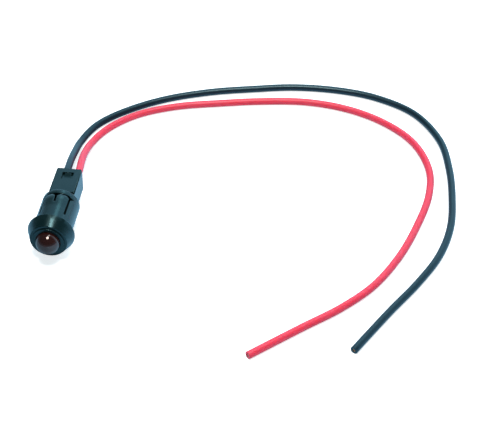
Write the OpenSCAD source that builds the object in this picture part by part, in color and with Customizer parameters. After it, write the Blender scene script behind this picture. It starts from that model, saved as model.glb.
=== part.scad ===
// Snap-in panel indicator lamp: a 5 mm LED in a plastic holder with two flying leads.
// The lamp's axis is the Y axis: the dome looks along -Y and the leads leave along +Y.
// The origin is the centre of the flange's rear face, which seats on the panel.
// It lies on its side: the flange's edge and the leads touch the plane z = table_z.

/* [Flange] */
// Diameter of the flange
flange_d = 9.8; // [9.2:0.1:12]
// Thickness of the flange, from the panel face to its front
flange_t = 2.7; // [2:0.1:4]
// Thickness of the flange's straight rim, behind its tapered side
flange_rim_t = 0.1; // [0.1:0.1:0.6]
// Diameter of the flange's front face, where the tapered side ends
flange_face_d = 7.7; // [7.1:0.1:9]
// Outer diameter of the raised lip around the dome
lip_d = 6.6; // [6:0.1:7]
// Height of the raised lip
lip_h = 0.3; // [0.1:0.1:0.8]

/* [Barrel] */
// Diameter of the barrel, which goes through the panel hole
barrel_d = 7.9; // [7.4:0.1:9]
// Length of the barrel behind the flange
barrel_len = 9.6; // [9:0.1:12]
// Thickness of the web that closes the barrel round the wire housing
web_t = 0.8; // [0.5:0.1:1.2]
// Radius of the rounded rear edge
shoulder_round = 0.5; // [0.2:0.1:0.8]

/* [Snap tongues] */
// Length of plain barrel in front of the slots
neck_len = 2.4; // [1.5:0.1:3]
// Width of the ring behind the tongues' free ends
ring_w = 0.7; // [0.3:0.1:1.2]
// Distance from a tongue's free end to its highest line
barb_inset = 0.8; // [0.3:0.1:1.5]
// Length of the ramp that rises to the highest line
barb_run = 3; // [0.8:0.1:3.4]
// How far the tongues stand proud of the barrel
barb_rise = 0.2; // [0.1:0.01:0.24]
// Width of the slots round the tongues
slot_w = 0.45; // [0.3:0.05:0.7]
// Length of the slit between the two tongues of a pair, from their free ends
slit_len = 2.3; // [1.5:0.1:4]
// Size of the cut corners at the tongues' free ends
corner_cut = 0.6; // [0.2:0.1:0.7]
// Angle from one tongue to the next one of its pair
tongue_pitch = 42; // [40:1:60]
// Turn of the tongue pairs from straight up and straight down
tongue_turn = -4; // [-15:1:15]

/* [Wire housing] */
// Length of the wire housing behind the barrel
block_len = 8.6; // [7.6:0.1:14]
// Width of the wire housing
block_w = 5.5; // [5.5:0.1:6]
// Height of the wire housing
block_h = 4.9; // [4.4:0.1:5.6]
// Wall of the wire housing
block_wall = 0.45; // [0.35:0.05:0.45]
// Radius of the rear corners
block_round = 0.6; // [0.2:0.1:1]
// Radius of the long edges
edge_round = 0.3; // [0.1:0.05:0.4]
// Length of the relief notches beside the barrel
notch_len = 0.9; // [0.4:0.1:1.4]
// Width of the relief notches
notch_w = 1.1; // [0.6:0.1:1.4]
// Depth of the relief notches
notch_depth = 0.3; // [0.1:0.05:0.3]

/* [Latch] */
// Width of the latch windows
window_w = 2.4; // [1.6:0.1:3]
// Length of the latch windows
window_len = 2.2; // [1.4:0.1:2.4]
// Distance from the rear end to the windows
window_inset = 1.3; // [0.8:0.1:2]
// Width of the latch lugs
lug_w = 1.4; // [0.8:0.1:1.5]
// Length of the latch lugs
lug_len = 1.2; // [0.8:0.1:1.3]

/* [Rear cap] */
// Length of the cap that closes the wire housing
cap_len = 3; // [2.2:0.1:4]
// Clearance round the cap
cap_gap = 0.05; // [0.03:0.01:0.1]

/* [LED] */
// Diameter of the LED body and its dome
led_d = 5; // [4.6:0.1:5.2]
// Overall length of the LED body
led_len = 8.6; // [8:0.1:9]
// How far the dome's tip stands in front of the panel face
led_reach = 5.6; // [5:0.1:6]
// Diameter of the LED's rim
led_rim_d = 5.8; // [5.5:0.1:5.9]
// Thickness of the LED's rim
led_rim_t = 1; // [0.8:0.1:1.2]
// Distance from the axis to the flat on the cathode side of the rim
led_flat = 2.5; // [2.4:0.05:2.7]
// Clearance between the LED and its bore
led_gap = 0.05; // [0.03:0.01:0.1]
// Distance between the two legs
leg_pitch = 2.54; // [2.4:0.02:2.6]
// Width of the square legs
leg_w = 0.5; // [0.4:0.05:0.55]
// Length of the anode leg behind the LED
anode_leg_len = 2.4; // [1.6:0.1:3]
// Length of the cathode leg behind the LED
cathode_leg_len = 4.4; // [3:0.1:5.5]
// Diameter of the reflector cup
cup_d = 1.2; // [1:0.05:1.3]
// Depth of the reflector cup
cup_depth = 0.6; // [0.4:0.05:0.7]
// Wall and floor of the reflector cup
cup_wall = 0.15; // [0.1:0.05:0.2]
// Width of the light-emitting die
die_w = 0.3; // [0.2:0.05:0.4]
// Thickness of the die
die_t = 0.15; // [0.1:0.01:0.2]
// Diameter of the bond wire
bond_d = 0.06; // [0.04:0.01:0.08]

/* [Series resistor] */
// Diameter of the resistor
resistor_d = 1.6; // [1.2:0.05:1.6]
// Length of the resistor
resistor_len = 3.2; // [2.6:0.1:3.4]
// Diameter of the resistor's leads
resistor_lead_d = 0.4; // [0.3:0.05:0.45]
// Length of the resistor's front lead
resistor_front_lead_len = 1.2; // [0.9:0.1:1.6]
// Length of the resistor's rear lead
resistor_rear_lead_len = 1.4; // [0.9:0.1:1.6]

/* [Leads] */
// Outer diameter of the insulated leads
wire_d = 1.6; // [1.2:0.05:1.6]
// Diameter of the stranded conductor
conductor_d = 0.76; // [0.5:0.02:0.8]
// Length of conductor stripped at the lamp's end
strip_len = 1.4; // [1:0.1:1.8]
// Clearance round a lead in the rear cap
wire_gap = 0.05; // [0.03:0.01:0.1]
// Length of a solder joint
joint_len = 1.2; // [0.9:0.1:1.4]
// Diameter of a solder joint
joint_d = 1; // [0.95:0.01:1.2]

/* [Heat-shrink sleeves] */
// Clearance between a sleeve and the lead that it grips
sleeve_gap = 0.03; // [0.02:0.01:0.05]
// Wall of the sleeves
sleeve_wall = 0.15; // [0.1:0.01:0.18]
// Length of insulation inside a sleeve
sleeve_grip = 1; // [0.6:0.1:1.4]

/* [Hidden] */
$fn = 64;

plastic_black = [0.07, 0.09, 0.10];
table_z = -flange_d / 2;
body_len = barrel_len + block_len;
cavity_r = led_rim_d / 2 + 2 * led_gap;
web_y = barrel_len - web_t;
tongue_end = web_y - ring_w - slot_w;
barb_y = tongue_end - barb_inset;
cavity_w = block_w - 2 * block_wall;
cavity_h = block_h - 2 * block_wall;
window_y = body_len - window_inset - window_len;
cap_y = body_len - cap_len;
cut = 0.01;                                    // how far a cut runs past the face that it opens

// Stations along the axis
led_base_y = led_len - led_reach;
dome_y = led_d / 2 - led_reach;
rim_y = led_base_y - led_rim_t;
leg_x = leg_pitch / 2;
die_y = -0.5;                                  // floor of the reflector cup
anvil_y = die_y + cup_wall;                    // front of the anvil, under the cup's floor
die_top_y = die_y - die_t;
cup_rim_y = die_y - cup_depth;
lead_root_y = 1.6;                             // where the post and the anvil narrow to their legs
anode_end_y = led_base_y + anode_leg_len;
resistor_y = anode_end_y + resistor_front_lead_len;
resistor_end_y = resistor_y + resistor_len;
red_joint_y = resistor_end_y + resistor_rear_lead_len;
black_joint_y = led_base_y + cathode_leg_len;
red_start_y = red_joint_y + strip_len;
black_start_y = black_joint_y + strip_len;

// The lead's routes: steps right of and behind the exit, and the drop from the exit (0) to the table (1)
red_route = [
    [0, 0, 0], [0, 3, 0.03], [-0.5, 7.5, 0.25], [-1, 13, 0.7], [-0.5, 18.5, 1], [2.5, 24.5, 1],
    [8, 30, 1], [16, 34, 1], [25.5, 36.5, 1], [35, 38.5, 1], [45, 39.5, 1], [54.5, 38, 1],
    [63, 34, 1], [70, 27.5, 1], [74, 18.5, 1], [74.5, 9, 1], [72.5, -1.5, 1], [69.5, -11.5, 1],
    [65, -21, 1], [59, -28.5, 1], [52, -35, 1], [42.5, -44, 1]];
black_route = [
    [0, 0, 0], [0, 3, 0.03], [-0.3, 7.5, 0.25], [-0.7, 13, 0.7], [-0.5, 18.5, 1], [2, 25, 1],
    [7.5, 31, 1], [15.5, 36.5, 1], [25, 40.5, 1], [34.5, 43, 1], [44.5, 45, 1], [55, 45, 1],
    [64, 43, 1], [72.5, 38, 1], [78.5, 29, 1], [81, 19, 1], [82, 9, 1], [82, -1, 1],
    [80, -10.5, 1], [76, -19.5, 1], [71, -28.5, 1], [65, -40, 1]];
route_steps = 2;                               // rings from one route point to the next
lead_sides = 8;

// Stands a shape that is drawn along +Z on the lamp's axis, with its -Y side up
module along_axis() {
    rotate([-90, 0, 0]) children();
}

// A round bar along the axis from one station to another
module bar(d, from_y, to_y, x = 0) {
    translate([x, from_y, 0]) along_axis() cylinder(d = d, h = to_y - from_y);
}

// A square bar along the axis
module square_bar(w, from_y, to_y, x) {
    translate([x - w / 2, from_y, -w / 2]) cube([w, to_y - from_y, w]);
}

// A rectangle with round corners, centred
module round_rect(w, h, r) {
    square([w - 2 * r, h], center = true);
    square([w, h - 2 * r], center = true);
    for (sx = [-1, 1], sy = [-1, 1])
        translate([sx * (w / 2 - r), sy * (h / 2 - r)]) circle(r = r, $fn = 32);
}

// Half section of the flange: a straight rim, the tapered side and the lip
module flange_section() {
    flange_r = flange_d / 2;
    polygon([[0, 0], [flange_r, 0], [flange_r, -flange_rim_t],
             [flange_face_d / 2, -flange_t], [0, -flange_t]]);
    translate([0, -flange_t - lip_h]) square([lip_d / 2, lip_h + cut]);
}

// Half section of the barrel, with a round rear edge
module barrel_section() {
    barrel_r = barrel_d / 2;
    translate([0, -cut]) square([barrel_r, barrel_len - shoulder_round + cut]);
    square([barrel_r - shoulder_round, barrel_len]);
    translate([barrel_r - shoulder_round, barrel_len - shoulder_round]) circle(r = shoulder_round);
}

// The wire housing's outer block, from inside the barrel's web to the rear end
module block() {
    run = body_len - web_y;
    intersection() {
        translate([0, web_y, 0]) along_axis()
            linear_extrude(height = run) round_rect(block_w, block_h, edge_round);
        translate([0, web_y, -block_h / 2]) linear_extrude(height = block_h) {
            translate([0, run / 2]) round_rect(block_w, run, block_round);
            translate([-block_w / 2, 0]) square([block_w, run / 2]);
        }
    }
}

// Turns a shape drawn at the top of the barrel to an angle from straight up
module at_angle(angle) {
    rotate([0, angle, 0]) children();
}

// A part turn about the axis over both tongues of one pair, centred on an angle from straight up
module over_pair(angle) {
    along_axis() rotate([0, 0, angle - 90 - tongue_pitch])
        rotate_extrude(angle = 2 * tongue_pitch) children();
}

// The raised backs of one pair of tongues: a ramp up to the barb line and a short ramp down,
// which the slots then part
module tongue_barbs(angle) {
    root_r = (barrel_d / 2 + cavity_r) / 2;
    end_y = tongue_end + slot_w / 2;
    over_pair(angle)
        polygon([[root_r, barb_y - barb_run], [barrel_d / 2 - cut, barb_y - barb_run],
                 [barrel_d / 2 + barb_rise, barb_y], [barrel_d / 2 + barb_rise / 2, end_y],
                 [root_r, end_y]]);
}

// The slot along one side of a tongue; it widens at its end, which cuts the tongues' corners
module leg_slot(angle, start_y) {
    end_y = tongue_end + slot_w / 2;
    at_angle(angle) translate([0, 0, cavity_r / 2]) linear_extrude(height = barrel_d) {
        translate([-slot_w / 2, start_y]) square([slot_w, end_y - start_y]);
        polygon([[0, tongue_end - corner_cut - slot_w / 2], [corner_cut + slot_w, end_y],
                 [-corner_cut - slot_w, end_y]]);
    }
}

// The slot behind the free ends of one pair of tongues
module end_slot(angle) {
    over_pair(angle) translate([cavity_r / 2, tongue_end]) square([barrel_d, slot_w]);
}

// The moulded holder: flange, barrel with its snap tongues, and wire housing
module housing() {
    color(plastic_black) difference() {
        union() {
            along_axis() rotate_extrude() {
                flange_section();
                barrel_section();
            }
            block();
            for (side = [0, 180]) tongue_barbs(side + tongue_turn);
        }
        bar(led_d + 2 * led_gap, -flange_t - lip_h - 1, rim_y + cut);
        bar(2 * cavity_r, rim_y, web_y);
        translate([-cavity_w / 2, web_y - cut, -cavity_h / 2])
            cube([cavity_w, body_len, cavity_h]);
        for (side = [0, 180]) {
            for (leg = [-1, 1]) leg_slot(side + tongue_turn + leg * tongue_pitch, neck_len);
            leg_slot(side + tongue_turn, tongue_end - slit_len);
            end_slot(side + tongue_turn);
            at_angle(side) translate([-window_w / 2, window_y, 0]) cube([window_w, window_len, block_h]);
            for (sx = [-1, 1]) at_angle(side)
                translate([sx * (block_w / 2 - notch_w / 2) - notch_w / 2, barrel_len,
                           block_h / 2 - notch_depth])
                    cube([notch_w, notch_len, notch_depth + 1]);
        }
    }
}

// The cap that closes the wire housing, with its latch lugs and the two lead holes
module rear_cap() {
    cap_w = cavity_w - 2 * cap_gap;
    cap_h = cavity_h - 2 * cap_gap;
    lug_end_y = window_y + window_len;
    color(plastic_black) difference() {
        union() {
            translate([-cap_w / 2, cap_y, -cap_h / 2]) cube([cap_w, cap_len, cap_h]);
            for (side = [0, 180]) at_angle(side)
                translate([lug_w / 2, lug_end_y, 0]) rotate([0, -90, 0])
                    linear_extrude(height = lug_w)
                        polygon([[0, 0], [cap_h / 2 + block_wall * 0.8, 0],
                                 [cap_h / 2 + block_wall * 0.8, -lug_len / 3],
                                 [cap_h / 2, -lug_len], [0, -lug_len]]);
        }
        for (sx = [-1, 1]) bar(wire_d + 2 * wire_gap, cap_y - 1, body_len + 1, sx * leg_x);
    }
}

// The LED's tinted epoxy body, moulded round its two leads
module led_lens() {
    color([0.35, 0.03, 0.03]) difference() {
        union() {
            bar(led_d, dome_y, led_base_y);
            translate([0, dome_y, 0]) along_axis() sphere(d = led_d);
            intersection() {
                bar(led_rim_d, rim_y, led_base_y);
                translate([-led_flat, rim_y, -led_rim_d])
                    cube([led_flat + led_rim_d, led_rim_t, 2 * led_rim_d]);
            }
        }
        anode_post();
        cathode_anvil();
        led_die();
        bond_wire();
    }
}

// The anode: a post beside the cup, as high as the die, and the leg behind it
module anode_post() {
    color("silver") {
        translate([leg_x - leg_w, die_top_y, -leg_w / 2])
            cube([1.5 * leg_w, lead_root_y - die_top_y, leg_w]);
        square_bar(leg_w, die_top_y, anode_end_y, leg_x);
    }
}

// The cathode: the anvil with its reflector cup, and the leg behind it
module cathode_anvil() {
    color("silver") {
        translate([-leg_x - leg_w / 2, anvil_y - cut, -leg_w / 2])
            cube([leg_x + leg_w, lead_root_y - anvil_y, leg_w]);
        square_bar(leg_w, anvil_y, black_joint_y, -leg_x);
        difference() {
            bar(cup_d, cup_rim_y, anvil_y);
            bar(cup_d - 2 * cup_wall, cup_rim_y - 1, die_y);
        }
    }
}

// The light-emitting die on the floor of the cup
module led_die() {
    color("orange") translate([-die_w / 2, die_top_y, -die_w / 2]) cube([die_w, die_t, die_w]);
}

// The bond wire from the die to the post: a half loop on two straight ends, over the cup's rim
module bond_wire() {
    loop_r = (leg_x - leg_w / 2) / 2;
    color("gold") {
        for (x = [0, 2 * loop_r]) bar(bond_d, cup_rim_y, die_top_y, x);
        translate([loop_r, cup_rim_y, 0]) rotate([0, 0, 180])
            rotate_extrude(angle = 180) translate([loop_r, 0]) circle(d = bond_d);
    }
}

// A solder joint centred on a station: a bar with round ends
module solder_blob(y, x) {
    end_r = joint_d / 4;
    translate([x, y - joint_len / 2, 0]) along_axis() rotate_extrude($fn = 32) {
        square([joint_d / 2 - end_r, joint_len]);
        translate([0, end_r]) square([joint_d / 2, joint_len - 2 * end_r]);
        for (end_y = [end_r, joint_len - end_r]) translate([joint_d / 2 - end_r, end_y]) circle(r = end_r);
    }
}

// The joint between the anode leg and the resistor
module anode_solder_joint() {
    color("lightgray") difference() {
        solder_blob(anode_end_y, leg_x);
        anode_post();
        resistor_front_lead();
    }
}

// The resistor's lead towards the LED
module resistor_front_lead() {
    color("silver") bar(resistor_lead_d, anode_end_y, resistor_y, leg_x);
}

// The resistor's moulded body, thicker at its ends
module resistor_body() {
    end_len = resistor_len / 4;
    waist_d = resistor_d * 0.85;
    color([0.35, 0.55, 0.7]) {
        bar(waist_d, resistor_y, resistor_end_y, leg_x);
        bar(resistor_d, resistor_y + 0.1, resistor_y + end_len, leg_x);
        bar(resistor_d, resistor_end_y - end_len, resistor_end_y - 0.1, leg_x);
    }
}

// The resistor's lead towards the red wire
module resistor_rear_lead() {
    color("silver") bar(resistor_lead_d, resistor_end_y, red_joint_y, leg_x);
}

// The joint between the resistor and the red wire
module red_solder_joint() {
    color("lightgray") difference() {
        solder_blob(red_joint_y, leg_x);
        resistor_rear_lead();
        red_conductor();
    }
}

// The joint between the cathode leg and the black wire
module black_solder_joint() {
    color("lightgray") difference() {
        solder_blob(black_joint_y, -leg_x);
        cathode_anvil();
        black_conductor();
    }
}

// The stripped end of the red wire
module red_conductor() {
    color("silver") bar(conductor_d, red_joint_y, red_start_y, leg_x);
}

// The stripped end of the black wire
module black_conductor() {
    color("silver") bar(conductor_d, black_joint_y, black_start_y, -leg_x);
}

// A heat-shrink sleeve from one station to another, over pieces of diameter d
module sleeve(d, from_y, to_y, x) {
    bore_d = d + 2 * sleeve_gap;
    difference() {
        bar(bore_d + 2 * sleeve_wall, from_y, to_y, x);
        bar(bore_d, from_y - 1, to_y + 1, x);
    }
}

// The sleeve over the resistor and both of its joints
module red_sleeve() {
    color([0.15, 0.15, 0.16]) sleeve(max(wire_d, resistor_d), anode_end_y - joint_len,
                                     red_start_y + sleeve_grip, leg_x);
}

// The sleeve over the black wire's joint
module black_sleeve() {
    color([0.15, 0.15, 0.16]) sleeve(wire_d, black_joint_y - joint_len,
                                     black_start_y + sleeve_grip, -leg_x);
}

// A lead's route as points in space, with the straight run inside the housing first
function lead_points(route, start_y, x) =
    concat([[x, start_y, 0], [x, (start_y + body_len) / 2, 0]],
           [for (p = route) [x + p[0], body_len + p[1], p[2] * (table_z + wire_d / 2)]]);

// A point on the smooth curve through the points p[i] and p[i + 1]
function curve_point(p, i, t) =
    let (last = len(p) - 1, a = p[max(i - 1, 0)], b = p[i], c = p[min(i + 1, last)],
         d = p[min(i + 2, last)])
    0.5 * (2 * b + (c - a) * t + (2 * a - 5 * b + 4 * c - d) * t * t
           + (3 * b - a - 3 * c + d) * t * t * t);

// The curve's points, route_steps for each stretch
function curve(p) =
    concat([for (i = [0:len(p) - 2], k = [0:route_steps - 1]) curve_point(p, i, k / route_steps)],
           [p[len(p) - 1]]);

function unit(v) = v / norm(v);

// A tube with flat ends, swept along points; its rings stay upright
module swept_tube(points, d) {
    last = len(points) - 1;
    rings = [for (i = [0:last])
        let (ahead = unit(points[min(i + 1, last)] - points[max(i - 1, 0)]),
             right = unit(cross(ahead, [0, 0, 1])),
             up = cross(right, ahead))
        for (k = [0:lead_sides - 1])
            let (angle = (k + 0.5) * 360 / lead_sides)
            points[i] + d / 2 * (cos(angle) * right + sin(angle) * up)];
    sides = [for (i = [0:last - 1], k = [0:lead_sides - 1])
        let (next = (k + 1) % lead_sides, a = i * lead_sides, b = a + lead_sides)
        [a + k, a + next, b + next, b + k]];
    front = [for (k = [0:lead_sides - 1]) lead_sides - 1 - k];
    back = [for (k = [0:lead_sides - 1]) last * lead_sides + k];
    polyhedron(rings, concat([front, back], sides));
}

// The insulated red lead, to the anode
module red_lead() {
    color([0.9, 0.1, 0.15]) swept_tube(curve(lead_points(red_route, red_start_y, leg_x)), wire_d);
}

// The insulated black lead, to the cathode
module black_lead() {
    color([0.06, 0.07, 0.08]) swept_tube(curve(lead_points(black_route, black_start_y, -leg_x)), wire_d);
}

housing();
rear_cap();
led_lens();
anode_post();
cathode_anvil();
led_die();
bond_wire();
anode_solder_joint();
resistor_front_lead();
resistor_body();
resistor_rear_lead();
red_solder_joint();
black_solder_joint();
red_conductor();
black_conductor();
red_sleeve();
black_sleeve();
red_lead();
black_lead();
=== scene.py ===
from math import cos, pi, radians, sin

import bmesh
import bpy
from mathutils import Matrix, Vector


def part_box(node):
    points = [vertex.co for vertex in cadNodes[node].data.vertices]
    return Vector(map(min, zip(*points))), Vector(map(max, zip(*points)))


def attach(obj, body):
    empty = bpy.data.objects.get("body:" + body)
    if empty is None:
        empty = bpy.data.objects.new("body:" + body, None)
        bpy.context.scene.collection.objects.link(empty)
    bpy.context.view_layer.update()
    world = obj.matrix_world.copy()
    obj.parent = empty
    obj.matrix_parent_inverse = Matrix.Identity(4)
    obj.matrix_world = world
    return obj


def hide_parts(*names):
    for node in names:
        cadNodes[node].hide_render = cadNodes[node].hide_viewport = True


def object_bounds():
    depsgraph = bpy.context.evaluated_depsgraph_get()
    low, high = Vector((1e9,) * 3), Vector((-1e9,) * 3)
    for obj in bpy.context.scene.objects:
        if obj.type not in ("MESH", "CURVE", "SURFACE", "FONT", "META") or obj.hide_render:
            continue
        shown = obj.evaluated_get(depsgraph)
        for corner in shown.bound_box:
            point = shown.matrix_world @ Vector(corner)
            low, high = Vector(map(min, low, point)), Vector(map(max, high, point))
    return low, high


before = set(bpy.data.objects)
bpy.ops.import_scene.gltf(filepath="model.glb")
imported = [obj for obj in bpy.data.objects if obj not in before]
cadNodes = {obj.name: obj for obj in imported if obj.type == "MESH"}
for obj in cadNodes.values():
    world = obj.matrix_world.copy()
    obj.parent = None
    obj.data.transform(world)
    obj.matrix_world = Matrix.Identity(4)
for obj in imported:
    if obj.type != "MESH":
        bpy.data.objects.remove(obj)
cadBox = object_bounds()
scene = bpy.context.scene
mm = 0.001                                     # the scene is in metres
mergeDistance = 0.002                          # in millimetres, the scale that shapes are made at

tableZ = cadBox[0].z                           # the lamp lies on its side on this plane
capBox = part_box("rear_cap")
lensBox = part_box("led_lens")
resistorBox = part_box("resistor_body")
print("frame loaded")


# camera: long lens, looking down at the dome's side with the leads behind
cameraSettings = {
    "place": (0.07257, -0.24106, 0.21105),
    "elevation": 40.0,                         # degrees above the table
    "turn": 7.5,                               # degrees round from straight behind the dome
    "lens": 115.2,
    "sensor": 36.0,
    "nearest": 0.01,                           # what is closer or farther away isn't drawn
    "farthest": 20.0,
}


def makeCamera(settings):
    lens = bpy.data.cameras.new("viewCamera")
    lens.lens = settings["lens"]
    lens.sensor_width = settings["sensor"]
    lens.clip_start = settings["nearest"]
    lens.clip_end = settings["farthest"]
    camera = bpy.data.objects.new("viewCamera", lens)
    camera.location = settings["place"]
    camera.rotation_euler = (radians(90 - settings["elevation"]), 0, radians(settings["turn"]))
    scene.collection.objects.link(camera)
    scene.camera = camera


makeCamera(cameraSettings)
print("camera placed")


# flying leads: each point of a route is the step right, the step back and the share of the drop
leadSettings = {
    "diameter": 1.6 * mm,
    "conductor": 0.76 * mm,
    "roundness": 10,
    "segments": 8,                             # from one route point to the next
    "handleParts": 6,                          # a handle is a sixth of the way past its neighbours
    "rimSoftness": 0.06 * mm,
    "rimSegments": 3,
    "sharpAngle": 50,
    "recess": 0.25 * mm,                       # how far the insulation stands past its bare strands
    "strandLength": 1.2 * mm,
    "strandSides": 12,
    "strandSharpAngle": 40,
    "leastCut": 0.2,                           # the strands' ends lie behind the rim, by shares of
    "cutStep": 0.15,                           # the recess that differ from strand to strand
}
redRoute = [
    (0, 0, 0), (0, 0.003, 0.03), (-0.0005, 0.0075, 0.25), (-0.001, 0.013, 0.7),
    (-0.0005, 0.0185, 1), (0.0025, 0.0245, 1), (0.008, 0.030, 1), (0.016, 0.034, 1),
    (0.0255, 0.0365, 1), (0.035, 0.0385, 1), (0.045, 0.0395, 1), (0.0545, 0.038, 1),
    (0.063, 0.034, 1), (0.070, 0.0275, 1), (0.074, 0.0185, 1), (0.0745, 0.009, 1),
    (0.0725, -0.0015, 1), (0.0695, -0.0115, 1), (0.065, -0.021, 1), (0.059, -0.0285, 1),
    (0.052, -0.035, 1), (0.0425, -0.044, 1)]
blackRoute = [
    (0, 0, 0), (0, 0.003, 0.03), (-0.0003, 0.0075, 0.25), (-0.0007, 0.013, 0.7),
    (-0.0005, 0.0185, 1), (0.002, 0.025, 1), (0.0075, 0.031, 1), (0.0155, 0.0365, 1),
    (0.025, 0.0405, 1), (0.0345, 0.043, 1), (0.0445, 0.045, 1), (0.055, 0.045, 1),
    (0.064, 0.043, 1), (0.0725, 0.038, 1), (0.0785, 0.029, 1), (0.081, 0.019, 1),
    (0.082, 0.009, 1), (0.082, -0.001, 1), (0.080, -0.0105, 1), (0.076, -0.0195, 1),
    (0.071, -0.0285, 1), (0.065, -0.040, 1)]


def leadPoints(conductor, route):
    # two points inside the wire housing, then the route from the cap's rear face
    low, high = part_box(conductor)
    exitX = (low.x + high.x) / 2
    exitY = capBox[1].y
    drop = tableZ + leadSettings["diameter"] / 2
    inside = [Vector((exitX, high.y, 0)), Vector((exitX, (high.y + exitY) / 2, 0))]
    return inside + [Vector((exitX + right, exitY + back, share * drop))
                     for right, back, share in route]


def onTable(place):
    # no point of a lead's line lies below its place on the table
    lowest = tableZ + leadSettings["diameter"] / 2
    return Vector((place.x, place.y, max(place.z, lowest)))


def lineThrough(name, points, thickness):
    # an open curve through every point, made a mesh: a bare line, or a tube if it has a thickness
    curve = bpy.data.curves.new(name, "CURVE")
    curve.dimensions = "3D"
    curve.bevel_depth = thickness / 2
    curve.bevel_resolution = leadSettings["roundness"]
    curve.resolution_u = leadSettings["segments"]
    spline = curve.splines.new("BEZIER")
    spline.bezier_points.add(len(points) - 1)
    for index, point in enumerate(points):
        before = points[max(index - 1, 0)]
        after = points[min(index + 1, len(points) - 1)]
        reach = (after - before) / leadSettings["handleParts"]
        knot = spline.bezier_points[index]
        knot.handle_left_type = knot.handle_right_type = "FREE"
        knot.co = point
        knot.handle_left = onTable(point - reach)
        knot.handle_right = onTable(point + reach)
    carrier = bpy.data.objects.new(name, curve)
    mesh = bpy.data.meshes.new_from_object(carrier)
    bpy.data.objects.remove(carrier)
    bpy.data.curves.remove(curve)
    return mesh


def addPiece(name, shape, sharpAngle):
    mesh = bpy.data.meshes.new(name)
    shape.to_mesh(mesh)
    shape.free()
    mesh.shade_smooth()
    mesh.set_sharp_from_angle(angle=radians(sharpAngle))
    piece = bpy.data.objects.new(name, mesh)
    scene.collection.objects.link(piece)
    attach(piece, "root")
    return piece


def endFace(shape, tip):
    return min(shape.faces, key=lambda face: (face.calc_center_median() - tip).length)


def makeLead(name, points, path):
    # the far end is cut square: a soft rim, the wall's thickness, then a shallow recess
    tube = lineThrough(name, points, leadSettings["diameter"])
    shape = bmesh.new()
    shape.from_mesh(tube)
    bpy.data.meshes.remove(tube)
    openEnds = [edge for edge in shape.edges if edge.is_boundary]
    bmesh.ops.edgeloop_fill(shape, edges=openEnds)
    soft = leadSettings["rimSoftness"]
    bmesh.ops.bevel(shape, geom=list(endFace(shape, path[-1]).edges), offset=soft,
                    segments=leadSettings["rimSegments"], profile=0.5, affect="EDGES", material=-1)
    wall = (leadSettings["diameter"] - leadSettings["conductor"]) / 2 - soft
    bmesh.ops.inset_individual(shape, faces=[endFace(shape, path[-1])], thickness=wall)
    bore = endFace(shape, path[-1])
    deeper = bmesh.ops.extrude_discrete_faces(shape, faces=[bore])["faces"]
    inwards = (path[-2] - path[-1]).normalized() * leadSettings["recess"]
    bmesh.ops.translate(shape, vec=inwards, verts=deeper[0].verts)
    bmesh.ops.recalc_face_normals(shape, faces=shape.faces)
    return addPiece(name, shape, leadSettings["sharpAngle"])


def makeStrands(name, path):
    # seven strands, one in the middle and six round it, cut off at uneven lengths
    strand = leadSettings["conductor"] / 3
    length = leadSettings["strandLength"]
    shape = bmesh.new()
    for index in range(7):
        across = strand if index else 0
        angle = index * pi / 3
        uneven = index * 3 % 5
        share = leadSettings["leastCut"] + leadSettings["cutStep"] * uneven
        short = leadSettings["recess"] * share
        one = bmesh.ops.create_cone(shape, cap_ends=True, segments=leadSettings["strandSides"],
                                    radius1=strand / 2, radius2=strand / 2, depth=length)["verts"]
        place = Vector((across * cos(angle), across * sin(angle), -short - length / 2))
        bmesh.ops.translate(shape, vec=place, verts=one)
    along = (path[-1] - path[-2]).normalized()
    facing = Matrix.Translation(path[-1]) @ along.to_track_quat("Z", "Y").to_matrix().to_4x4()
    bmesh.ops.transform(shape, matrix=facing, verts=shape.verts)
    return addPiece(name, shape, leadSettings["strandSharpAngle"])


def layLead(name, conductor, route, node):
    # the tube and its bare strands; the third point is where it leaves the rear cap
    points = leadPoints(conductor, route)
    line = lineThrough(name + "Line", points, 0)
    path = [vertex.co.copy() for vertex in line.vertices]
    bpy.data.meshes.remove(line)
    lead = makeLead(name, points, path)
    strands = makeStrands(name + "Strands", path)
    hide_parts(node)
    print(name, "is", round(sum((b - a).length for a, b in zip(path, path[1:])), 4), "long")
    return lead, strands


redLead, redStrands = layLead("redLead", "red_conductor", redRoute, "red_lead")
blackLead, blackStrands = layLead("blackLead", "black_conductor", blackRoute, "black_lead")
print("leads laid")


# dome: a five millimetre lamp body with its rim and the flat beside the cathode
domeSettings = {
    "radius": 2.5 * mm,
    "rimRadius": 2.9 * mm,
    "rimThickness": 1.0 * mm,
    "softness": 0.12 * mm,
    "flatGap": 0.01 * mm,                      # from the dome's side to the flat on its rim
    "arcSteps": 24,
    "turnSteps": 96,
    "sharpAngle": 35,
}


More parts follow.
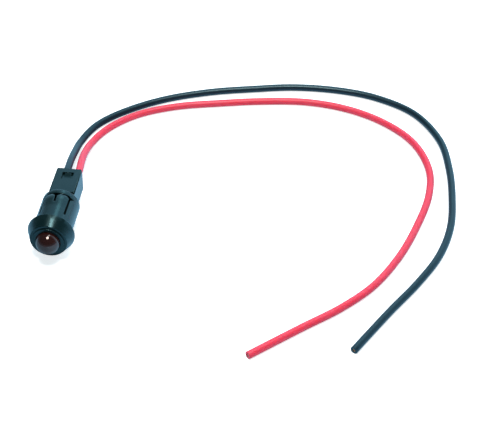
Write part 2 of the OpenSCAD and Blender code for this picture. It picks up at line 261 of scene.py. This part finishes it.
def makeDome(settings):
    # half section from the tip to the base, turned about the lamp's axis
    tipY, baseY = lensBox[0].y, lensBox[1].y
    centreY = tipY + settings["radius"]
    rimY = baseY - settings["rimThickness"]
    outline = []
    for step in range(settings["arcSteps"] + 1):
        angle = step / settings["arcSteps"] * pi / 2
        outline.append((settings["radius"] * sin(angle), centreY - settings["radius"] * cos(angle)))
    outline += [(settings["radius"], rimY - settings["softness"]),
                (settings["radius"] + settings["softness"], rimY),
                (settings["rimRadius"] - settings["softness"], rimY),
                (settings["rimRadius"], rimY + settings["softness"]),
                (settings["rimRadius"], baseY - settings["softness"]),
                (settings["rimRadius"] - settings["softness"], baseY), (0, baseY)]
    shape = bmesh.new()
    section = [shape.verts.new((radius / mm, y / mm, 0)) for radius, y in outline]
    edges = [shape.edges.new(pair) for pair in zip(section, section[1:])]
    bmesh.ops.spin(shape, geom=section + edges, cent=(0, 0, 0), axis=(0, 1, 0), angle=2 * pi,
                   steps=settings["turnSteps"], use_merge=True, use_duplicate=False)
    bmesh.ops.remove_doubles(shape, verts=shape.verts, dist=mergeDistance)
    # the flat on the rim
    flatX = -(settings["radius"] + settings["flatGap"]) / mm
    everything = list(shape.verts) + list(shape.edges) + list(shape.faces)
    cut = bmesh.ops.bisect_plane(shape, geom=everything, plane_co=(flatX, 0, 0),
                                 plane_no=(-1, 0, 0), clear_outer=True)
    rim = [item for item in cut["geom_cut"] if isinstance(item, bmesh.types.BMEdge)]
    bmesh.ops.edgeloop_fill(shape, edges=rim)
    bmesh.ops.recalc_face_normals(shape, faces=shape.faces)
    bmesh.ops.scale(shape, vec=(mm, mm, mm), verts=shape.verts)
    piece = addPiece("dome", shape, settings["sharpAngle"])
    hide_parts("led_lens")
    return piece


dome = makeDome(domeSettings)
print("dome turned")


# mouldings: the holder and its rear cap, with every outer corner softened as a mould leaves it
mouldingSettings = {
    "edgeRadius": 0.06 * mm,
    "edgeSegments": 3,
    "flatAngle": 0.5,                          # degrees; faces that meet flatter become one
    "sharpestKept": 25.0,                      # degrees; flatter joints belong to one curved face
    "shortestEdge": 0.08 * mm,
    "sharpAngle": 35,
}


def softenedCopy(name, node):
    shape = bmesh.new()
    shape.from_mesh(cadNodes[node].data)
    bmesh.ops.scale(shape, vec=(1 / mm, 1 / mm, 1 / mm), verts=shape.verts)
    bmesh.ops.remove_doubles(shape, verts=shape.verts, dist=mergeDistance)
    bmesh.ops.recalc_face_normals(shape, faces=shape.faces)
    bmesh.ops.dissolve_limit(shape, angle_limit=radians(mouldingSettings["flatAngle"]),
                             verts=shape.verts, edges=shape.edges)
    corners = [edge for edge in shape.edges
               if edge.calc_face_angle_signed(0) > radians(mouldingSettings["sharpestKept"])
               and edge.calc_length() > mouldingSettings["shortestEdge"] / mm]
    bmesh.ops.bevel(shape, geom=corners, offset=mouldingSettings["edgeRadius"] / mm,
                    segments=mouldingSettings["edgeSegments"], profile=0.5, affect="EDGES",
                    material=-1)
    bmesh.ops.scale(shape, vec=(mm, mm, mm), verts=shape.verts)
    piece = addPiece(name, shape, mouldingSettings["sharpAngle"])
    weighted = piece.modifiers.new("evenShading", "WEIGHTED_NORMAL")
    weighted.keep_sharp = True
    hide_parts(node)
    return piece


holder = softenedCopy("holder", "housing")
rearPlug = softenedCopy("rearPlug", "rear_cap")
print("mouldings softened")


# finishes: two near tones that change slowly, and a fine grain over them
finishSettings = {
    "blackPlastic": {"dark": (0.003, 0.010, 0.011), "light": (0.005, 0.013, 0.014),
                     "toneScale": 350, "roughness": 0.24, "gloss": (0.50, 0.92, 1.0),
                     "grainScale": 4500, "grainStrength": 0.12, "grainDepth": 0.02 * mm},
    "redEpoxy": {"dark": (0.020, 0.005, 0.004), "light": (0.030, 0.007, 0.005), "toneScale": 220,
                 "roughness": 0.10, "gloss": (1.0, 0.80, 0.74), "reflectance": 0.80,
                 "grainScale": 900, "grainStrength": 0.03, "grainDepth": 0.02 * mm},
    "redPvc": {"dark": (0.94, 0.045, 0.095), "light": (0.98, 0.056, 0.112), "toneScale": 120,
               "roughness": 0.44, "depth": 0.5 * mm, "grainScale": 1500,
               "grainStrength": 0.10, "grainDepth": 0.03 * mm},
    "blackPvc": {"dark": (0.005, 0.017, 0.028), "light": (0.008, 0.024, 0.038), "toneScale": 120,
                 "roughness": 0.36, "gloss": (0.62, 0.92, 1.0), "grainScale": 1500,
                 "grainStrength": 0.10, "grainDepth": 0.03 * mm},
    "copperStrands": {"dark": (0.38, 0.15, 0.08), "light": (0.56, 0.25, 0.14), "toneScale": 2600,
                      "roughness": 0.30, "metallic": 1.0, "grainScale": 9000, "grainStrength": 0.15,
                      "grainDepth": 0.01 * mm},
    "tinnedMetal": {"dark": (0.50, 0.50, 0.48), "light": (0.64, 0.64, 0.62), "toneScale": 1400,
                    "roughness": 0.32, "metallic": 1.0, "grainScale": 6000, "grainStrength": 0.15,
                    "grainDepth": 0.01 * mm},
    "solderGrey": {"dark": (0.40, 0.40, 0.40), "light": (0.58, 0.58, 0.57), "toneScale": 1100,
                   "roughness": 0.40, "metallic": 1.0, "grainScale": 2400, "grainStrength": 0.40,
                   "grainDepth": 0.03 * mm},
    "goldWire": {"dark": (0.80, 0.52, 0.16), "light": (0.92, 0.64, 0.24), "toneScale": 3000,
                 "roughness": 0.22, "metallic": 1.0, "grainScale": 9000, "grainStrength": 0.10,
                 "grainDepth": 0.005 * mm},
    "dieCrystal": {"dark": (0.30, 0.04, 0.02), "light": (0.46, 0.08, 0.03), "toneScale": 4000,
                   "roughness": 0.20, "grainScale": 9000, "grainStrength": 0.10,
                   "grainDepth": 0.005 * mm},
    "resistorCoat": {"dark": (0.10, 0.27, 0.42), "light": (0.13, 0.32, 0.48), "toneScale": 900,
                     "roughness": 0.38, "grainScale": 3500, "grainStrength": 0.15,
                     "grainDepth": 0.02 * mm},
    "sleeveBlack": {"dark": (0.010, 0.010, 0.011), "light": (0.018, 0.018, 0.019), "toneScale": 500,
                    "roughness": 0.50, "grainScale": 2600, "grainStrength": 0.20,
                    "grainDepth": 0.02 * mm},
}
# what every finish has, unless its own settings say otherwise
plainFinish = {
    "metallic": 0.0,
    "gloss": (1, 1, 1),
    "reflectance": 0.5,
    "toneEdges": (0.35, 0.65),                 # where the dark tone ends and the light one starts
    "toneDetail": 2,
    "grainDetail": 4,
    "soaking": 0.5,                            # share of the light that soaks in, if it has a depth
    "soakingReach": (1.0, 0.25, 0.25),         # red light goes the farthest
}
# share of the resistor's length where each ring starts and ends, and its colour
resistorRings = [(0.12, 0.20, (0.72, 0.50, 0.02)), (0.32, 0.40, (0.20, 0.05, 0.30)),
                 (0.48, 0.56, (0.14, 0.05, 0.02)), (0.80, 0.88, (0.50, 0.34, 0.08))]


def addNode(finish, kind, **values):
    node = finish.node_tree.nodes.new(kind)
    for socket, value in values.items():
        node.inputs[socket].default_value = value
    return node


def makeFinish(name):
    settings = {**plainFinish, **finishSettings[name]}
    finish = bpy.data.materials.new(name)
    finish.use_nodes = True
    links = finish.node_tree.links
    shader = finish.node_tree.nodes["Principled BSDF"]
    shader.inputs["Roughness"].default_value = settings["roughness"]
    shader.inputs["Metallic"].default_value = settings["metallic"]
    shader.inputs["Specular Tint"].default_value = (*settings["gloss"], 1)
    shader.inputs["Specular IOR Level"].default_value = settings["reflectance"]
    if "depth" in settings:                    # light that soaks in a little, as in soft plastic
        shader.inputs["Subsurface Weight"].default_value = settings["soaking"]
        shader.inputs["Subsurface Radius"].default_value = settings["soakingReach"]
        shader.inputs["Subsurface Scale"].default_value = settings["depth"]
    coords = addNode(finish, "ShaderNodeTexCoord")
    slow = addNode(finish, "ShaderNodeTexNoise", Scale=settings["toneScale"],
                   Detail=settings["toneDetail"])
    tones = addNode(finish, "ShaderNodeValToRGB")
    tones.name = "tones"
    for element, place, tone in zip(tones.color_ramp.elements, settings["toneEdges"],
                                    ("dark", "light")):
        element.position = place
        element.color = (*settings[tone], 1)
    fine = addNode(finish, "ShaderNodeTexNoise", Scale=settings["grainScale"],
                   Detail=settings["grainDetail"])
    bump = addNode(finish, "ShaderNodeBump", Strength=settings["grainStrength"],
                   Distance=settings["grainDepth"])
    links.new(coords.outputs["Object"], slow.inputs["Vector"])
    links.new(slow.outputs["Fac"], tones.inputs["Fac"])
    links.new(tones.outputs["Color"], shader.inputs["Base Color"])
    links.new(coords.outputs["Object"], fine.inputs["Vector"])
    links.new(fine.outputs["Fac"], bump.inputs["Height"])
    links.new(bump.outputs["Normal"], shader.inputs["Normal"])
    return finish


def addRings(finish, rings, low, high):
    # coloured rings round a body that lies along Y, laid over its own tones
    links = finish.node_tree.links
    shaders = finish.node_tree.nodes
    coords = addNode(finish, "ShaderNodeTexCoord")
    split = addNode(finish, "ShaderNodeSeparateXYZ")
    along = addNode(finish, "ShaderNodeMapRange")
    along.inputs["From Min"].default_value = low
    along.inputs["From Max"].default_value = high
    links.new(coords.outputs["Object"], split.inputs["Vector"])
    links.new(split.outputs["Y"], along.inputs["Value"])
    colour = shaders["tones"].outputs["Color"]
    for start, end, ring in rings:
        here = addNode(finish, "ShaderNodeMath")
        here.operation = "COMPARE"
        here.inputs[1].default_value = (start + end) / 2
        here.inputs[2].default_value = (end - start) / 2
        links.new(along.outputs["Result"], here.inputs[0])
        over = addNode(finish, "ShaderNodeMix")
        over.data_type = "RGBA"
        over.inputs["B"].default_value = (*ring, 1)
        links.new(here.outputs["Value"], over.inputs["Factor"])
        links.new(colour, over.inputs["A"])
        colour = over.outputs["Result"]
    links.new(colour, shaders["Principled BSDF"].inputs["Base Color"])


def paint(finish, pieces):
    for piece in pieces:
        piece.data.materials.clear()
        piece.data.materials.append(finish)


finishes = {name: makeFinish(name) for name in finishSettings}
addRings(finishes["resistorCoat"], resistorRings, resistorBox[0].y, resistorBox[1].y)
paint(finishes["blackPlastic"], [holder, rearPlug])
paint(finishes["redEpoxy"], [dome])
paint(finishes["redPvc"], [redLead])
paint(finishes["blackPvc"], [blackLead])
paint(finishes["copperStrands"], [redStrands, blackStrands])
nodeFinishes = {
    "copperStrands": ["red_conductor", "black_conductor"],
    "tinnedMetal": ["anode_post", "cathode_anvil", "resistor_front_lead", "resistor_rear_lead"],
    "solderGrey": ["anode_solder_joint", "red_solder_joint", "black_solder_joint"],
    "goldWire": ["bond_wire"],
    "dieCrystal": ["led_die"],
    "resistorCoat": ["resistor_body"],
    "sleeveBlack": ["red_sleeve", "black_sleeve"],
}
for name, paintedNodes in nodeFinishes.items():
    paint(finishes[name], [cadNodes[node] for node in paintedNodes])
print("finishes made")


# table and light
lightSettings = {
    "overhead": {"direction": (0.055, -0.119, 0.991), "distance": 0.8, "width": 0.30,
                 "length": 0.30, "radiance": 22.5, "colour": (1.0, 0.98, 0.93)},
    "strip": {"direction": (0.09, 0.20, 0.976), "distance": 0.8, "width": 0.16, "length": 0.66,
              "radiance": 5.0, "colour": (0.90, 1.0, 1.0)},
    "behind": {"direction": (0.09, 0.738, 0.669), "distance": 0.8, "width": 0.17, "length": 0.17,
               "radiance": 3.0, "colour": (0.5, 0.94, 1.0)},
    "roomEdges": (0.14, 0.34),                 # where the pale part ends and the dark one starts
    "roomTop": (0.03, 0.09, 0.11),             # the dark upper part of the room
    "roomLow": (0.15, 0.28, 0.38),             # the paler band above the table's far edge
    "roomBehind": (0.75, 1.25, 1.60),          # the bright end of the room
    "brightEnd": (0.34, 0.94, 0.0),            # where it lies: behind the lamp and to the right
    "brightEdges": (0.40, 0.70),               # cosines from there where it starts and is full
    "tableSize": 4,
    "tableGap": 0.02 * mm,                     # keeps the table clear of what lies on it
    "tableGlow": 0.85,                         # what the table adds to its own lit colour
    "tableGlowInGloss": 0.65,                  # on the right; none on the left
    "glossFade": 0.01,                         # from the lamp's axis to where it is full
    "tableColour": (0.88, 0.89, 0.89),
    "tableInGloss": (0.33, 0.62, 0.85),        # its cooler colour in reflections
}


def makeTableFinish():
    # the glow is seen by the camera, in gloss and through clear parts, and lights nothing
    finish = bpy.data.materials.new("tableWhite")
    finish.use_nodes = True
    links = finish.node_tree.links
    shader = finish.node_tree.nodes["Principled BSDF"]
    path = addNode(finish, "ShaderNodeLightPath")
    colour = addNode(finish, "ShaderNodeMix")
    colour.data_type = "RGBA"
    colour.inputs["A"].default_value = (*lightSettings["tableColour"], 1)
    colour.inputs["B"].default_value = (*lightSettings["tableInGloss"], 1)
    seen = addNode(finish, "ShaderNodeMath")
    seen.operation = "ADD"
    direct = addNode(finish, "ShaderNodeMath")
    direct.operation = "MULTIPLY"
    direct.inputs[1].default_value = lightSettings["tableGlow"]
    coords = addNode(finish, "ShaderNodeTexCoord")
    split = addNode(finish, "ShaderNodeSeparateXYZ")
    across = addNode(finish, "ShaderNodeMapRange")
    across.inputs["From Max"].default_value = lightSettings["glossFade"]
    across.inputs["To Max"].default_value = lightSettings["tableGlowInGloss"]
    total = addNode(finish, "ShaderNodeMath")
    total.operation = "MULTIPLY_ADD"
    links.new(path.outputs["Is Glossy Ray"], colour.inputs["Factor"])
    links.new(colour.outputs["Result"], shader.inputs["Base Color"])
    links.new(colour.outputs["Result"], shader.inputs["Emission Color"])
    links.new(path.outputs["Is Camera Ray"], seen.inputs[0])
    links.new(path.outputs["Is Transmission Ray"], seen.inputs[1])
    links.new(seen.outputs["Value"], direct.inputs[0])
    links.new(coords.outputs["Object"], split.inputs["Vector"])
    links.new(split.outputs["X"], across.inputs["Value"])
    links.new(path.outputs["Is Glossy Ray"], total.inputs[0])
    links.new(across.outputs["Result"], total.inputs[1])
    links.new(direct.outputs["Value"], total.inputs[2])
    links.new(total.outputs["Value"], shader.inputs["Emission Strength"])
    return finish


def makeTable():
    shape = bmesh.new()
    bmesh.ops.create_grid(shape, x_segments=1, y_segments=1, size=lightSettings["tableSize"])
    bmesh.ops.translate(shape, vec=(0, 0, tableZ - lightSettings["tableGap"]), verts=shape.verts)
    mesh = bpy.data.meshes.new("table")
    shape.to_mesh(mesh)
    shape.free()
    mesh.materials.append(makeTableFinish())
    table = bpy.data.objects.new("table", mesh)
    scene.collection.objects.link(table)


def makeLamp(name, settings):
    # a round or drawn-out panel that faces the object; its power is radiance times area times pi
    lamp = bpy.data.lights.new(name, "AREA")
    lamp.shape = "ELLIPSE"
    lamp.size = settings["width"]
    lamp.size_y = settings["length"]
    lamp.energy = settings["radiance"] * (pi / 4 * settings["width"] * settings["length"]) * pi
    lamp.color = settings["colour"]
    place = Vector(settings["direction"]).normalized()
    panel = bpy.data.objects.new(name, lamp)
    panel.location = place * settings["distance"]
    panel.rotation_euler = place.to_track_quat("Z", "Y").to_euler()
    scene.collection.objects.link(panel)


def makeRoom():
    # pale low down, dark higher up, and bright at the end behind the lamp
    world = bpy.data.worlds.new("room")
    scene.world = world
    world.use_nodes = True
    links = world.node_tree.links
    direction = addNode(world, "ShaderNodeTexCoord")
    split = addNode(world, "ShaderNodeSeparateXYZ")
    height = addNode(world, "ShaderNodeValToRGB")
    for element, place, tone in zip(height.color_ramp.elements, lightSettings["roomEdges"],
                                    ("roomLow", "roomTop")):
        element.position = place
        element.color = (*lightSettings[tone], 1)
    facing = addNode(world, "ShaderNodeVectorMath")
    facing.operation = "DOT_PRODUCT"
    facing.inputs[1].default_value = lightSettings["brightEnd"]
    nearEnd = addNode(world, "ShaderNodeMapRange")
    nearEnd.inputs["From Min"].default_value = lightSettings["brightEdges"][0]
    nearEnd.inputs["From Max"].default_value = lightSettings["brightEdges"][1]
    both = addNode(world, "ShaderNodeMix")
    both.data_type = "RGBA"
    both.inputs["B"].default_value = (*lightSettings["roomBehind"], 1)
    links.new(direction.outputs["Generated"], split.inputs["Vector"])
    links.new(split.outputs["Z"], height.inputs["Fac"])
    links.new(direction.outputs["Generated"], facing.inputs[0])
    links.new(facing.outputs["Value"], nearEnd.inputs["Value"])
    links.new(height.outputs["Color"], both.inputs["A"])
    links.new(nearEnd.outputs["Result"], both.inputs["Factor"])
    background = world.node_tree.nodes["Background"]
    background.inputs["Strength"].default_value = 1
    links.new(both.outputs["Result"], background.inputs["Color"])


makeTable()
makeLamp("overheadLamp", lightSettings["overhead"])
makeLamp("stripLamp", lightSettings["strip"])
makeLamp("rearLamp", lightSettings["behind"])
makeRoom()
scene.view_settings.view_transform = "Standard"
print("light set")
